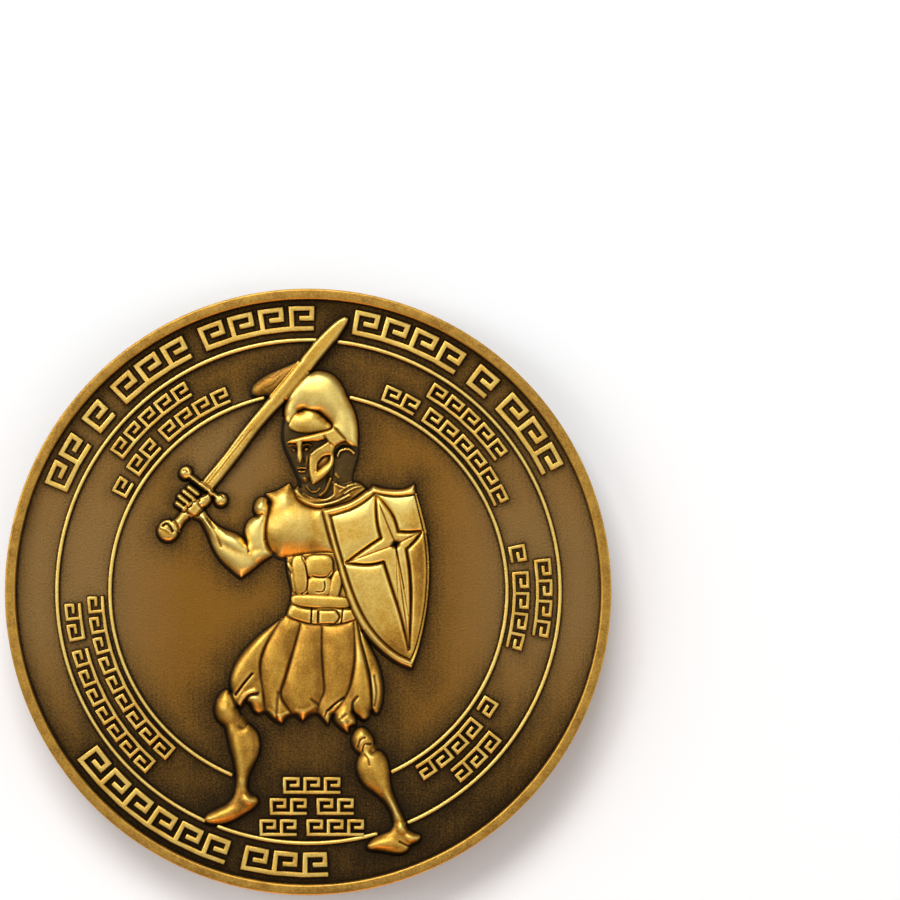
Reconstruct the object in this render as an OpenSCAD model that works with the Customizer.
// Challenge coin, lying flat with its obverse up. The origin is the centre of the reverse rim's
// resting face, +Z points out of the obverse and +Y to the top of both designs.

/* [Coin] */
// Diameter over the plain edge
coin_d = 44.5; // [38:0.5:60]
// Thickness over both rims
coin_t = 3.8; // [3.4:0.1:5]
// Depth of the obverse field below its rim
front_depth = 1.1; // [1.05:0.05:1.4]
// Depth of the reverse field below its rim
back_depth = 0.6; // [0.4:0.05:0.9]
// Width of both rims
rim_w = 0.75; // [0.5:0.05:1.2]
// Rounding of the rims' edges
rim_round = 0.18; // [0.1:0.02:0.24]

/* [Ring lines] */
// Middle radius of the obverse's outer ring line
outer_ring_r = 18.5; // [18:0.1:19]
// Middle radius of the obverse's inner ring line
inner_ring_r = 14.6; // [14.2:0.1:14.8]
// Width of the obverse's ring lines
ring_w = 0.32; // [0.2:0.02:0.5]
// Height of every ring line above its field
ring_h = 0.38; // [0.2:0.02:0.5]
// Middle radius of the reverse's ring line
back_ring_r = 19.35; // [18.8:0.05:20]
// Width of the reverse's ring line
back_ring_w = 0.46; // [0.3:0.02:0.6]

/* [Key ornament] */
// Stroke of the key ornament in the obverse's outer band
outer_stroke = 0.37; // [0.3:0.01:0.4]
// Stroke of the key ornament in the obverse's inner band
inner_stroke = 0.25; // [0.2:0.01:0.26]
// Stroke of the key ornament on the reverse
back_stroke = 0.29; // [0.2:0.01:0.31]
// Height of the key ornament above its field
key_h = 0.46; // [0.25:0.01:0.5]

/* [Warrior] */
// Height of the low parts that lie behind the others
low_h = 0.5; // [0.3:0.01:0.6]
// Height of the limbs and of the skirt
mid_h = 0.82; // [0.65:0.01:0.9]
// Height of the parts that stand foremost
high_h = 1.04; // [0.92:0.01:1.05]
// Points on each stretch of a drawn curve
curve_steps = 5; // [3:1:8]

/* [Hidden] */
$fn = 96;
// The designs are drawn for this diameter and follow coin_d in proportion
drawn_d = 44.5;
k = coin_d / drawn_d;
coin_r = coin_d / 2;
back_z = back_depth;
front_z = coin_t - front_depth;
// Each key unit is six strokes long and five strokes high
key_pitch = 6;
key_rise = 5;

// ---- drawing helpers -------------------------------------------------------------------------

// A point at t, from 0 to 1, on the smooth curve from b to c that has a and d as its neighbours
function curve_point(a, b, c, d, t) =
    (2 * b + (c - a) * t + (2 * a - 5 * b + 4 * c - d) * t * t + (3 * b - a - 3 * c + d) * t * t * t) / 2;

// A smooth stretch through the points of p, without its last point, which starts the next stretch
function stretch(p) =
    len(p) == 2 ? [k * p[0]] : [
        for (i = [0 : len(p) - 2])
            let (a = p[max(i - 1, 0)], d = p[min(i + 2, len(p) - 1)])
            for (s = [0 : curve_steps - 1])
                k * curve_point(a, p[i], p[i + 1], d, s / curve_steps)
    ];

// An outline of smooth stretches that meet at corners
module outline(stretches) {
    polygon([for (p = stretches) each stretch(p)]);
}

// A smooth closed outline with no corners
module loop(p) {
    n = len(p);
    polygon([
        for (i = [0 : n - 1])
            for (s = [0 : curve_steps - 1])
                k * curve_point(p[(i + n - 1) % n], p[i], p[(i + 1) % n], p[(i + 2) % n], s / curve_steps)
    ]);
}

// Raises a drawn shape off the obverse field
module front(h) {
    translate([0, 0, front_z]) linear_extrude(h) children();
}

// Raises a shape, drawn as it is seen, off the reverse field
module back(h) {
    translate([0, 0, back_z - h]) linear_extrude(h) mirror([1, 0, 0]) children();
}

// A bar with round ends from a to b
module bar(a, b, w) {
    d = b - a;
    translate(k * a) circle(k * w / 2);
    translate(k * b) circle(k * w / 2);
    translate(k * a) rotate(atan2(d[1], d[0])) translate([0, -k * w / 2]) square(k * [norm(d), w]);
}

// ---- coin body ------------------------------------------------------------------------------

module planchet() {
    color("darkgoldenrod") translate([0, 0, back_z]) cylinder(r = coin_r, h = front_z - back_z);
}

// Half section of a rim of height h whose far corners are rounded
module rim_section(h) {
    r = rim_round;
    union() {
        translate([coin_r - rim_w, 0]) square([rim_w, h - r]);
        translate([coin_r - rim_w + r, 0]) square([rim_w - 2 * r, h]);
        translate([coin_r - rim_w + r, h - r]) circle(r);
        translate([coin_r - r, h - r]) circle(r);
    }
}

module obverse_rim() {
    color("goldenrod") translate([0, 0, front_z]) rotate_extrude() rim_section(front_depth);
}

module reverse_rim() {
    color("goldenrod") translate([0, 0, back_z]) mirror([0, 0, 1]) rotate_extrude() rim_section(back_depth);
}

// ---- ring lines -----------------------------------------------------------------------------

// A ring line of radius r from angle a0 to a1
module ring_arc(r, a0, a1) {
    color("gold") translate([0, 0, front_z]) rotate(a0) rotate_extrude(angle = a1 - a0)
        translate([k * (r - ring_w / 2), 0]) square([k * ring_w, ring_h]);
}

module outer_ring_left() { ring_arc(outer_ring_r, 87, 246.1); }
module outer_ring_right() { ring_arc(outer_ring_r, -67.1, 83.7); }
module outer_ring_bottom() { ring_arc(outer_ring_r, 248.5, 286.2); }
module inner_ring_left() { ring_arc(inner_ring_r, 102.4, 247.9); }
module inner_ring_right() { ring_arc(inner_ring_r, -65.8, 78.4); }

module reverse_ring() {
    color("gold") translate([0, 0, back_z - ring_h]) difference() {
        cylinder(r = k * (back_ring_r + back_ring_w / 2), h = ring_h);
        translate([0, 0, -1]) cylinder(r = k * (back_ring_r - back_ring_w / 2), h = ring_h + 2);
    }
}

// ---- key ornament ---------------------------------------------------------------------------

// Length of a key of n units with stroke w
function key_length(n, w) = (key_pitch * n - 1) * w;

// Outline of a key of n units: a base line that a square hook rises from in each unit
function key_points(n, w) = [
    for (i = [0 : n - 1]) [key_pitch * i * w, 0],
    [key_length(n, w), 0],
    [key_length(n, w), w],
    for (i = [n - 1 : -1 : 0])
        for (p = [[1, 1], [1, 4], [4, 4], [4, 3], [2, 3], [2, 2], [5, 2], [5, 5], [0, 5], [0, 1]])
            if (i > 0 || p != [0, 1]) [(key_pitch * i + p[0]) * w, p[1] * w]
];

// Where each key of a row starts, with the whole row centred on 0
function row_length(keys, w, gap, n) =
    n == 0 ? 0 : row_length(keys, w, gap, n - 1) + key_length(keys[n - 1], w) + gap;
function key_start(keys, w, gap, i) =
    row_length(keys, w, gap, i) - (row_length(keys, w, gap, len(keys)) - gap) / 2;

// A straight row of keys, centred on x and y
module key_row(keys, w, gap, x, y) {
    for (i = [0 : len(keys) - 1])
        translate([x + key_start(keys, w, gap, i), y - key_rise * w / 2]) polygon(key_points(keys[i], w));
}

// A row of keys bent round the coin's centre, on radius r about angle a; up is 1 where the hooks
// point outwards and -1 where they point inwards
module key_arc(keys, w, gap, r, a, up) {
    for (i = [0 : len(keys) - 1])
        polygon([
            for (p = key_points(keys[i], w))
                let (
                    t = a - up * (p[0] + key_start(keys, w, gap, i)) / r * 180 / PI,
                    q = r + up * (p[1] - key_rise * w / 2)
                )
                q * [cos(t), sin(t)]
        ]);
}

module outer_keys(keys, a, up) {
    color("gold") front(key_h) key_arc(keys, k * outer_stroke, k * 1.15, k * 20.1, a, up);
}

// Two rows of keys in the inner band, the inner row first
module inner_keys(rows, a) {
    color("gold") front(key_h) {
        key_arc(rows[0], k * inner_stroke, k * 0.7, k * 15.65, a, 1);
        key_arc(rows[1], k * inner_stroke, k * 0.7, k * 17.35, a, 1);
    }
}

module key_outer_left() { outer_keys([2, 1, 3, 4], 123.2, 1); }
module key_outer_right() { outer_keys([4, 1, 3], 53.5, 1); }
module key_outer_bottom() { outer_keys([6, 3], 245, -1); }
module key_sword() { inner_keys([[1, 2, 4], [5]], 132.5); }
module key_helmet() { inner_keys([[2, 6], [5]], 47); }
module key_shield() { inner_keys([[1, 4], [4]], -1.5); }
module key_belt() { inner_keys([[1, 4], [3]], -44.5); }
module key_breastplate() { inner_keys([[9], [7, 2]], 205.5); }

module key_feet() {
    rows = [[3], [2, 2], [2, 3]];
    color("gold") front(key_h) for (i = [0 : 2])
        key_row(rows[i], k * inner_stroke, k * 0.7, k * 0.25, k * (-14.25 - 1.55 * i));
}

// Keys in each row of the reverse, from the top row down
back_rows = [
    [5, 2], [5, 2, 4], [1, 2, 3, 2, 1, 3], [3, 1, 2, 4, 2, 2], [2, 4, 5, 1, 2, 3],
    [1, 2, 1, 3, 1, 4, 5], [2, 3, 1, 2, 4, 2, 2], [5, 2, 5, 3, 2], [2, 2, 5, 9], [3, 5, 5, 2],
    [3, 2, 6, 2, 3], [3, 5, 6], [5, 2], [6]
];
// Height of the top row's middle, and the distance between rows
back_top = 15.6;
back_pitch = 2.24;

module back_keys(first, last) {
    color("gold") back(key_h) for (i = [first : last])
        key_row(back_rows[i], k * back_stroke, k * 0.75, 0, k * (back_top - back_pitch * i));
}

module reverse_keys_upper() { back_keys(0, 4); }
module reverse_keys_middle() { back_keys(5, 9); }
module reverse_keys_lower() { back_keys(10, 13); }

module reverse_key_arc() {
    color("gold") back(key_h) key_arc([5, 2, 3], k * back_stroke, k * 0.75, k * 17.1, -90, -1);
}

// ---- sword ----------------------------------------------------------------------------------

pommel_at = [-10.3, 4.5];
guard_balls = [[-9, 8.75], [-6.4, 6.75]];

module blade_outline() {
    outline([
        [[-8, 7.9], [-6.2, 10.05], [-4.75, 12], [-3.05, 14.05], [-1.4, 16.05], [0.1, 17.95],
            [0.95, 18.9], [1.9, 19.8], [2.6, 20.22], [2.95, 20.1]],
        [[2.95, 20.1], [2.85, 19.7], [2.4, 18.95], [1.6, 17.95], [-0.05, 15.98], [-1.75, 14],
            [-3.6, 11.9], [-5.05, 9.95], [-7.15, 7.3]],
        [[-7.15, 7.3], [-8, 7.9]]
    ]);
}

module guard_outline() {
    bar(guard_balls[0], guard_balls[1], 0.34);
    for (p = guard_balls) translate(k * p) circle(k * 0.46);
}

module grip_outline() {
    outline([
        [[-9.5, 4.4], [-10.1, 5.05]],
        [[-10.1, 5.05], [-9.65, 5.5], [-9.2, 6.1]],
        [[-9.2, 6.1], [-8.4, 5.6]],
        [[-8.4, 5.6], [-9.05, 5.15], [-9.5, 4.4]]
    ]);
}

module sword_blade() {
    color("gold") front(high_h) difference() {
        blade_outline();
        guard_outline();
    }
}

module sword_guard() { color("goldenrod") front(high_h) guard_outline(); }

module sword_grip() {
    color("darkgoldenrod") front(mid_h) difference() {
        grip_outline();
        forearm_outline();
        translate(k * pommel_at) circle(k * 0.78);
        palm_outline();
        finger_outlines();
    }
}

module sword_pommel() { color("goldenrod") front(high_h) translate(k * pommel_at) circle(k * 0.78); }

// ---- arm ------------------------------------------------------------------------------------

// Each finger runs from its knuckle to where it meets the palm
finger_lines = [
    [[-8.75, 7.68], [-8.15, 7.22]], [[-9.12, 7.38], [-8.45, 6.85]],
    [[-9.45, 7], [-8.8, 6.48]], [[-9.62, 6.5], [-9.12, 6.14]]
];

module finger_outlines() {
    for (f = finger_lines) bar(f[0], f[1], 0.4);
}

module palm_outline() {
    loop([
        [-7.6, 7.2], [-7.2, 7.25], [-7.08, 6.8], [-7.35, 6.4], [-7.75, 6.1], [-8.3, 5.6],
        [-8.85, 5.85], [-9.05, 6.25], [-8.7, 6.5], [-8.35, 6.75], [-8, 6.95]
    ]);
}

module forearm_outline() {
    outline([
        [[-7.72, 6.1], [-7.25, 5.35], [-6.6, 4.8], [-6, 4.5], [-5.3, 4.25], [-4.8, 3.9],
            [-4.5, 3.35], [-4.35, 2.75]],
        [[-4.35, 2.75], [-4.45, 1.95], [-4.95, 1.05]],
        [[-4.95, 1.05], [-5.6, 1.55], [-6.4, 2.3], [-7, 3.25], [-7.4, 4.25], [-7.95, 5.25],
            [-8.7, 5.5]],
        [[-8.7, 5.5], [-7.72, 6.1]]
    ]);
}

module upper_arm_outline() {
    outline([
        [[-3.75, 5.6], [-4, 6.05], [-3.85, 6.65], [-3.45, 6.95], [-3.05, 6.8], [-2.9, 6.3],
            [-3, 5.4], [-3.12, 4.4], [-3.15, 3.75], [-3.35, 3.2]],
        [[-3.35, 3.2], [-3.85, 2.95], [-4.35, 2.75]],
        [[-4.35, 2.75], [-4.5, 3.5], [-4.68, 4.3], [-4.55, 4.95], [-4.25, 5.35], [-3.75, 5.6]]
    ]);
}

module elbow_outline() {
    outline([
        [[-4.95, 1.05], [-4.2, 1.55], [-3.35, 2.25], [-2.6, 2.72]],
        [[-2.6, 2.72], [-2.95, 3.2], [-3.12, 3.75]],
        [[-3.12, 3.75], [-3.35, 3.2], [-3.85, 2.95], [-4.35, 2.75]],
        [[-4.35, 2.75], [-4.45, 1.95], [-4.95, 1.05]]
    ]);
}

module palm() {
    color("gold") front(mid_h) difference() {
        palm_outline();
        finger_outlines();
        guard_outline();
    }
}

module fingers() {
    color("gold") front(high_h) difference() {
        finger_outlines();
        guard_outline();
    }
}

module forearm() {
    color("gold") front(mid_h) difference() {
        forearm_outline();
        palm_outline();
    }
}

module upper_arm() {
    color("gold") front(mid_h) difference() {
        upper_arm_outline();
        forearm_outline();
        chest_outline();
    }
}

module elbow() {
    color("gold") front(mid_h) difference() {
        elbow_outline();
        forearm_outline();
        upper_arm_outline();
        chest_outline();
    }
}

// ---- trunk ----------------------------------------------------------------------------------

module chest_outline() {
    outline([
        [[-3.15, 7.2], [-2.5, 7.35], [-1.9, 7.65], [-1.4, 7.95]],
        [[-1.4, 7.95], [-1.05, 7.4], [-0.8, 6.75], [-0.1, 6.25], [0.9, 6.05], [2.2, 6.3]],
        [[2.2, 6.3], [2.6, 2.9]],
        [[2.6, 2.9], [1.2, 2.95], [0.2, 2.88], [-0.9, 2.72], [-1.6, 2.52], [-2.2, 2.55],
            [-2.75, 3.05], [-3.05, 3.75], [-3.12, 4.6], [-2.98, 5.6], [-2.82, 6.5], [-3.15, 7.2]]
    ]);
}

module abdomen_outline() {
    outline([
        [[-1.6, 2.52], [-0.9, 2.72], [0.2, 2.88], [1.2, 2.95], [2.6, 2.9]],
        [[2.6, 2.9], [3.2, -1.28]],
        [[3.2, -1.28], [1.5, -1.22], [0.4, -1.26], [-0.5, -1.14], [-1.3, -0.84]],
        [[-1.3, -0.84], [-1.2, 0.2], [-1.45, 1.3], [-1.6, 2.52]]
    ]);
}

module belt_outline() {
    outline([
        [[-1.3, -0.84], [-0.5, -1.14], [0.4, -1.26], [1.5, -1.22], [3.6, -1.28]],
        [[3.6, -1.28], [3.5, -2.05]],
        [[3.5, -2.05], [2.7, -2.3], [1.9, -2.42], [0.9, -2.44], [0, -2.34], [-0.9, -2.08],
            [-1.65, -1.78]],
        [[-1.65, -1.78], [-1.3, -0.84]]
    ]);
}

module buckle_outline() {
    outline([
        [[0.75, -1.32], [2, -1.32]],
        [[2, -1.32], [2.28, -1.85], [1.95, -2.36]],
        [[1.95, -2.36], [0.72, -2.38]],
        [[0.72, -2.38], [0.75, -1.32]]
    ]);
}

module chest() {
    color("gold") front(high_h) difference() {
        chest_outline();
        shield_outline();
    }
}

module abdomen() {
    color("goldenrod") front(mid_h) difference() {
        abdomen_outline();
        shield_outline();
    }
}

module belt() {
    color("darkgoldenrod") front(mid_h) difference() {
        belt_outline();
        buckle_outline();
        shield_outline();
    }
}

module buckle() { color("gold") front(high_h) buckle_outline(); }

// ---- head -----------------------------------------------------------------------------------

module bowl_outline() {
    outline([
        [[-1.72, 12.75], [-1.75, 13.5], [-1.35, 14.6], [-0.6, 15.6], [0.2, 16.1], [0.9, 16.22],
            [1.8, 15.92], [2.45, 15.2], [2.9, 14.2], [3.35, 13.3], [3.6, 12.3], [3.65, 11.4],
            [3.62, 10.65]],
        [[3.62, 10.65], [3.1, 10.85], [2.72, 11.15]],
        [[2.72, 11.15], [2.25, 11.65], [1.85, 12.05]],
        [[1.85, 12.05], [1.5, 12.6], [0.9, 13.1], [0.1, 13.4], [-0.55, 13.35], [-1.05, 13],
            [-1.4, 12.4]],
        [[-1.4, 12.4], [-1.72, 12.75]]
    ]);
}

module brow_outline() {
    loop([
        [-1.42, 12.2], [-1.1, 12.9], [-0.55, 13.22], [0.1, 13.25], [0.8, 13], [1.35, 12.55],
        [1.62, 12.1], [1.35, 11.88], [0.7, 11.76], [0, 11.68], [-0.7, 11.74], [-1.15, 11.9]
    ]);
}

module visor_outline() {
    outline([
        [[-1.55, 10.95], [-1.2, 11.15], [-0.5, 11.32], [0.3, 11.5], [1, 11.68], [1.6, 11.86],
            [1.85, 12.05]],
        [[1.85, 12.05], [2.25, 11.65], [2.72, 11.15]],
        [[2.72, 11.15], [2.3, 10.95], [1.95, 10.72]],
        [[1.95, 10.72], [1.5, 10.98], [1.25, 11.25], [0.7, 11.12], [0.1, 11.1], [-0.44, 11.08]],
        [[-0.44, 11.08], [-0.52, 10.6], [-0.46, 9.95], [-0.6, 9.52], [-0.78, 9.9], [-0.76, 10.5],
            [-0.88, 10.95]],
        [[-0.88, 10.95], [-1.55, 10.95]]
    ]);
}

module cheek_outline() {
    outline([
        [[0.14, 10.08], [0.55, 10.45], [1.05, 10.72], [1.45, 11]],
        [[1.45, 11], [1.95, 10.72]],
        [[1.95, 10.72], [1.8, 10.2], [1.82, 9.6], [1.6, 9], [1.05, 8.4], [0.35, 7.92]],
        [[0.35, 7.92], [0.14, 8.6], [0.08, 9.4], [0.14, 10.08]]
    ]);
}

module cheek_slot() {
    outline([
        [[0.68, 8.95], [0.74, 9.5], [1.1, 9.88], [1.58, 10.02]],
        [[1.58, 10.02], [1.5, 9.62], [1.1, 9.28], [0.68, 8.95]]
    ]);
}

module neck_guard_outline() {
    outline([
        [[1.95, 10.72], [2.3, 10.95], [2.72, 11.15]],
        [[2.72, 11.15], [3.1, 10.85], [3.62, 10.65]],
        [[3.62, 10.65], [3.62, 10], [3.42, 9.3], [3.25, 8.7], [3.2, 8.1]],
        [[3.2, 8.1], [2.5, 7.9], [1.75, 8.1]],
        [[1.75, 8.1], [1.82, 9.6], [1.8, 10.2], [1.95, 10.72]]
    ]);
}

// The face, in the shadow behind the guards, with the throat below it
module face_outline() {
    outline([
        [[-1.72, 12.75], [-1.86, 11.6], [-1.72, 10.7], [-1.3, 9.7], [-0.85, 8.7], [-0.55, 7.9]],
        [[-0.55, 7.9], [-0.45, 7.35], [0.1, 6.95], [0.9, 6.8], [1.75, 7.1]],
        [[1.75, 7.1], [1.75, 8.1]],
        [[1.75, 8.1], [1.95, 10.72]],
        [[1.95, 10.72], [1.85, 12.05]],
        [[1.85, 12.05], [0.1, 13.4], [-1.4, 12.4]],
        [[-1.4, 12.4], [-1.72, 12.75]]
    ]);
}

// The rolled cloth round the neck, and the far shoulder that it crosses
module collar_outline() {
    outline([
        [[-1.08, 7.45], [-0.8, 6.75], [-0.1, 6.25], [0.9, 6.05], [2.2, 6.3], [3.1, 6.6]],
        [[3.1, 6.6], [4.3, 7.5]],
        [[4.3, 7.5], [3.8, 7.95], [3.2, 8.1]],
        [[3.2, 8.1], [2.5, 7.9], [1.75, 8.1]],
        [[1.75, 8.1], [1.75, 7.1]],
        [[1.75, 7.1], [0.9, 6.8], [0.1, 6.95], [-0.45, 7.35]],
        [[-0.45, 7.35], [-0.75, 7.75], [-1.08, 7.45]]
    ]);
}

module crest_outline() {
    outline([
        [[-4.15, 14.5], [-4.12, 15], [-3.7, 15.5], [-3, 15.95], [-2.2, 16.3], [-1.5, 16.6],
            [-0.7, 16.95]],
        [[-0.7, 16.95], [-1.75, 14]],
        [[-1.75, 14], [-3, 14.38], [-3.7, 14.32], [-4.15, 14.5]]
    ]);
}

module crest() {
    color("darkgoldenrod") front(low_h) difference() {
        crest_outline();
        blade_outline();
        bowl_outline();
    }
}

module helmet_bowl() {
    color("gold") front(high_h) difference() {
        bowl_outline();
        blade_outline();
    }
}

module helmet_brow() {
    color("gold") front(high_h) difference() {
        brow_outline();
        bowl_outline();
        visor_outline();
    }
}

module helmet_visor() { color("gold") front(high_h) visor_outline(); }

module cheek_guard() {
    color("goldenrod") front(high_h) difference() {
        cheek_outline();
        visor_outline();
        cheek_slot();
    }
}

module neck_guard() {
    color("darkgoldenrod") front(low_h) difference() {
        neck_guard_outline();
        cheek_outline();
    }
}

module face() {
    color("saddlebrown") front(low_h) difference() {
        face_outline();
        bowl_outline();
        brow_outline();
        visor_outline();
        cheek_outline();
    }
}

module collar() {
    color("darkgoldenrod") front(mid_h) difference() {
        collar_outline();
        shield_outline();
    }
}

// ---- shield ---------------------------------------------------------------------------------

module shield_outline() {
    outline([
        [[1.07, 6], [2.2, 6.3], [3.1, 6.62], [4, 7.18], [4.78, 7.78]],
        [[4.78, 7.78], [5.6, 7.58], [6.6, 7.5], [7.3, 7.62], [7.8, 7.92]],
        [[7.8, 7.92], [7.9, 7.2], [8.3, 5.8], [8.68, 4.2], [8.86, 2.5], [8.88, 1], [8.72, -1],
            [8.4, -2.9], [8, -4.5], [7.6, -5.6]],
        [[7.6, -5.6], [6.7, -5.25], [5.7, -4.6], [4.75, -3.7], [3.9, -2.6], [3.2, -1.2],
            [2.6, 0.5], [2.1, 2.3], [1.6, 4], [1.07, 6]]
    ]);
}

// Inside of the raised border, which dies away along the far edge
module shield_inside() {
    outline([
        [[1.55, 5.62], [2.4, 5.86], [3.2, 6.14], [4.05, 6.62], [4.85, 7.26]],
        [[4.85, 7.26], [5.6, 7.14], [6.6, 7.06], [7.88, 7.2]],
        [[7.88, 7.2], [8.22, 5.8], [8.58, 4.2], [8.76, 2.5], [8.78, 1], [8.62, -1], [8.3, -2.8],
            [7.9, -4.3], [7.55, -5.1]],
        [[7.55, -5.1], [6.6, -4.65], [5.7, -3.95], [4.8, -3], [4, -1.8], [3.35, -0.4], [2.85, 1],
            [2.45, 2.3], [2, 3.8], [1.55, 5.62]]
    ]);
}

// The star's four arms swell a little between their tips and the notches
module star_outline() {
    outline([
        [[4.95, 7.15], [5.6, 6.45], [6.25, 5.5], [6.6, 4.42]],
        [[6.6, 4.42], [7.4, 4.38], [8.35, 4.45]],
        [[8.35, 4.45], [7.8, 3.75], [7.18, 3.15]],
        [[7.18, 3.15], [7.42, 1.6], [7.52, -0.6], [7.4, -4.25]],
        [[7.4, -4.25], [6.75, -1.6], [6.05, 0.6], [5.55, 2.2]],
        [[5.55, 2.2], [4.4, 2], [2.75, 2.12]],
        [[2.75, 2.12], [4.1, 3.1], [5.35, 3.95]],
        [[5.35, 3.95], [5.05, 5.2], [4.95, 7.15]]
    ]);
}

module shield_plate() {
    color("gold") front(mid_h) difference() {
        shield_inside();
        star_outline();
    }
}

module shield_border() {
    color("goldenrod") front(high_h) difference() {
        shield_outline();
        shield_inside();
    }
}

module shield_star() { color("goldenrod") front(high_h) star_outline(); }

// ---- skirt ----------------------------------------------------------------------------------

fold_outlines = [
    [
        [[-1.65, -1.78], [-2.7, -2.5], [-3.8, -3.35], [-4.8, -4.4], [-5.5, -5.6], [-5.76, -6.7],
            [-5.6, -7.65]],
        [[-5.6, -7.65], [-5.38, -8.2], [-5, -8.52], [-4.7, -8.1], [-4.3, -8.2], [-4, -8.75],
            [-3.6, -8.95], [-3.18, -8.8]],
        [[-3.18, -8.8], [-3.3, -7.5], [-3.5, -6.2], [-3.5, -5.1], [-3.15, -4], [-2.55, -2.9],
            [-2.05, -2.15]],
        [[-2.05, -2.15], [-1.65, -1.78]]
    ],
    [
        [[-2.05, -2.15], [-2.55, -2.9], [-3.15, -4], [-3.5, -5.1], [-3.5, -6.2], [-3.3, -7.5],
            [-3.18, -8.8]],
        [[-3.18, -8.8], [-2.9, -9.05], [-2.5, -9.4], [-1.95, -9.68]],
        [[-1.95, -9.68], [-1.6, -9.25], [-1.15, -9.02]],
        [[-1.15, -9.02], [-1.9, -7.95], [-2, -7.3], [-1.72, -6.4], [-1.25, -4.8], [-0.85, -3.4],
            [-0.55, -2.25]],
        [[-0.55, -2.25], [-0.9, -2.08], [-1.65, -1.78]],
        [[-1.65, -1.78], [-2.05, -2.15]]
    ],
    [
        [[-0.55, -2.25], [-0.85, -3.4], [-1.25, -4.8], [-1.72, -6.4], [-2, -7.3], [-1.9, -7.95],
            [-1.15, -9.02]],
        [[-1.15, -9.02], [-0.8, -9.15], [-0.42, -9.5]],
        [[-0.42, -9.5], [0.05, -9.1], [0.6, -8.95]],
        [[0.6, -8.95], [0.85, -8.1], [1.15, -7.3], [1.08, -6], [0.98, -4.4], [1, -2.44]],
        [[1, -2.44], [0, -2.34], [-0.55, -2.25]]
    ],
    [
        [[1, -2.44], [0.98, -4.4], [1.08, -6], [1.15, -7.3], [0.85, -8.1], [0.6, -8.95]],
        [[0.6, -8.95], [1, -9.25], [1.45, -9.75]],
        [[1.45, -9.75], [1.62, -9.3], [1.85, -8.9]],
        [[1.85, -8.9], [2.45, -8.2], [2.95, -7.3], [3.25, -6.1], [3.42, -4.6], [3.35, -2.12]],
        [[3.35, -2.12], [2.7, -2.3], [1.9, -2.42], [1, -2.44]]
    ],
    [
        [[3.35, -2.12], [3.42, -4.6], [3.25, -6.1], [2.95, -7.3], [2.45, -8.2], [1.85, -8.9]],
        [[1.85, -8.9], [1.95, -9.5], [2.4, -10], [2.95, -10.38]],
        [[2.95, -10.38], [3.05, -9.95], [3.5, -9.75]],
        [[3.5, -9.75], [3.45, -9.3], [3.2, -8.8], [3.65, -9.1], [4.05, -9.42], [4.45, -9.2],
            [4.62, -8.7]],
        [[4.62, -8.7], [4.6, -7.6], [4.45, -6.2], [4.15, -4.9], [3.8, -3.6], [3.55, -2.1]],
        [[3.55, -2.1], [3.35, -2.12]]
    ],
    [
        [[3.55, -2.1], [3.8, -3.6], [4.15, -4.9], [4.45, -6.2], [4.6, -7.6], [4.62, -8.7]],
        [[4.62, -8.7], [5.05, -8.95], [5.35, -8.4], [5.5, -7.4], [5.35, -6.1], [4.95, -4.9],
            [4.4, -3.8], [3.85, -2.6]],
        [[3.85, -2.6], [3.55, -2.1]]
    ]
];

module skirt_fold(n) {
    color(n % 2 == 0 ? "goldenrod" : "gold") front(mid_h) difference() {
        outline(fold_outlines[n - 1]);
        belt_outline();
        shield_outline();
    }
}

module skirt_fold_1() { skirt_fold(1); }
module skirt_fold_2() { skirt_fold(2); }
module skirt_fold_3() { skirt_fold(3); }
module skirt_fold_4() { skirt_fold(4); }
module skirt_fold_5() { skirt_fold(5); }
module skirt_fold_6() { skirt_fold(6); }

// ---- legs -----------------------------------------------------------------------------------

module left_knee() {
    color("gold") front(mid_h) difference() {
        loop([
            [-6.86, -8.4], [-6.6, -7.65], [-6.05, -7.2], [-5.7, -7.5], [-5.35, -8.3],
            [-4.95, -9.2], [-4.95, -9.9], [-5.5, -10.1], [-6.2, -9.8], [-6.75, -9.2]
        ]);
        outline(fold_outlines[0]);
        left_calf_outline();
    }
}

module left_calf_outline() {
    outline([
        [[-6.1, -9.85], [-5.5, -10.1], [-4.95, -9.9], [-4.4, -9.72]],
        [[-4.4, -9.72], [-3.8, -10.3], [-3.56, -11.2], [-3.72, -12.1], [-4.2, -13.1],
            [-4.45, -13.9], [-4.48, -14.6]],
        [[-4.48, -14.6], [-5.35, -14.6]],
        [[-5.35, -14.6], [-5.3, -13.6], [-5.45, -12.5], [-5.75, -11.4], [-6.1, -9.85]]
    ]);
}

module left_calf() { color("gold") front(mid_h) left_calf_outline(); }

module left_foot() {
    color("gold") front(mid_h) outline([
        [[-5.35, -14.6], [-4.48, -14.6]],
        [[-4.48, -14.6], [-4.15, -14.95], [-3.8, -15.1], [-3.7, -15.5], [-4.1, -15.95],
            [-4.8, -16.4], [-5.5, -16.8], [-6.3, -17.05], [-7.1, -17.08], [-7.62, -16.85],
            [-7.4, -16.35], [-6.7, -15.95], [-6, -15.6], [-5.55, -15.1], [-5.35, -14.6]]
    ]);
}

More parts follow.
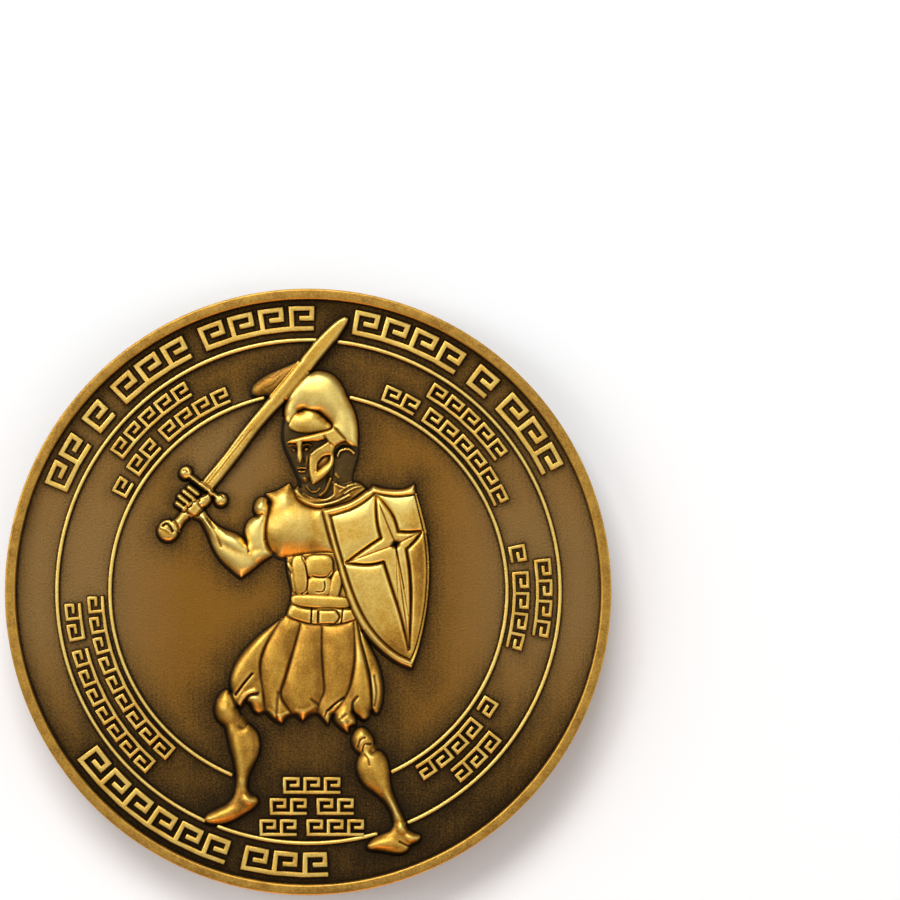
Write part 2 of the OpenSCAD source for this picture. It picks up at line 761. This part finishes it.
module right_knee() {
    color("gold") front(mid_h) difference() {
        loop([
            [3.22, -10.8], [3.45, -10.2], [3.95, -9.98], [4.45, -10.3], [4.78, -10.9],
            [4.68, -11.6], [4.2, -12], [3.7, -11.8], [3.35, -11.4]
        ]);
        right_calf_outline();
        outline(fold_outlines[4]);
    }
}

module right_calf_outline() {
    outline([
        [[3.85, -11.95], [4.2, -11.88], [4.68, -11.7], [5.3, -11.75], [5.75, -12.3], [5.95, -13.2],
            [6.05, -14.2], [6.35, -15.2], [6.8, -16.2], [7.15, -17]],
        [[7.15, -17], [6.3, -17.1]],
        [[6.3, -17.1], [6.1, -16.2], [5.6, -15.4], [4.85, -14.75], [4.05, -14.1], [3.62, -13.2],
            [3.62, -12.4], [3.85, -11.95]]
    ]);
}

module right_calf() { color("gold") front(mid_h) right_calf_outline(); }

module right_foot() {
    color("gold") front(mid_h) outline([
        [[6.3, -17.1], [7.15, -17]],
        [[7.15, -17], [7.35, -17.5], [7.8, -17.75], [8.25, -17.95], [8.1, -18.35], [7.55, -18.6],
            [7.25, -19.05], [6.7, -19.25], [5.9, -19.15], [5.1, -19.02], [4.5, -18.95],
            [4.35, -18.65], [4.8, -18.15], [5.4, -17.85], [6, -17.6], [6.3, -17.1]]
    ]);
}

planchet();
obverse_rim();
reverse_rim();
outer_ring_left();
outer_ring_right();
outer_ring_bottom();
inner_ring_left();
inner_ring_right();
reverse_ring();
key_outer_left();
key_outer_right();
key_outer_bottom();
key_sword();
key_helmet();
key_shield();
key_belt();
key_breastplate();
key_feet();
reverse_keys_upper();
reverse_keys_middle();
reverse_keys_lower();
reverse_key_arc();
crest();
helmet_bowl();
helmet_brow();
helmet_visor();
cheek_guard();
neck_guard();
face();
collar();
chest();
upper_arm();
elbow();
forearm();
palm();
fingers();
abdomen();
sword_blade();
sword_guard();
sword_grip();
sword_pommel();
shield_plate();
shield_border();
shield_star();
belt();
buckle();
skirt_fold_1();
skirt_fold_2();
skirt_fold_3();
skirt_fold_4();
skirt_fold_5();
skirt_fold_6();
left_knee();
left_calf();
left_foot();
right_knee();
right_calf();
right_foot();
